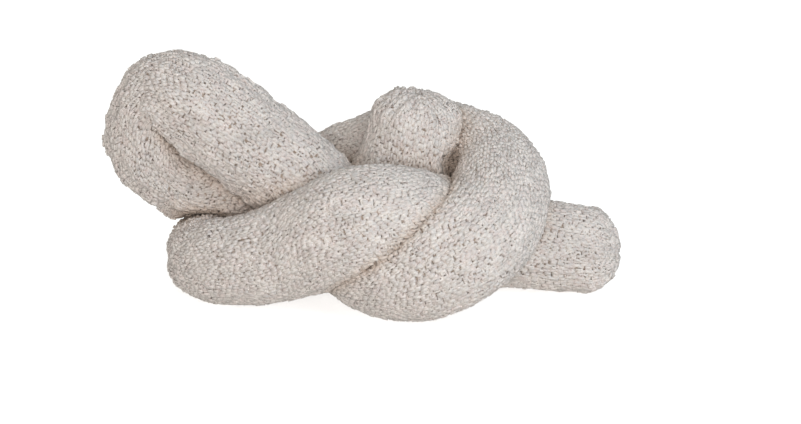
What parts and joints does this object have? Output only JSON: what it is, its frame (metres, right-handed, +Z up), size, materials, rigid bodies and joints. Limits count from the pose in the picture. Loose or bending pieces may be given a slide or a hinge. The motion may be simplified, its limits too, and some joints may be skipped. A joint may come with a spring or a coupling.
{
  "type": "knot cushion",
  "caption": "Cushion for a sofa or bed, made of one long stuffed knitted tube tied in a slipped overhand knot, with a loop out to one side and an end out to the other",
  "frame": {"origin": "centre of the footprint's box, on the surface that the cushion lies on", "axes": "+X to the right along the longest side, towards the end that lies on the surface, +Y to the back, +Z up"},
  "size_m": [0.5461, 0.3433, 0.2617],
  "materials": {
    "knitted_yarn": "matt, chunky slubby knit in cream marled with beige and grey"
  },
  "bodies": {
    "root": {"knitted_tube": "knitted_yarn"}
  },
  "joints": []
}
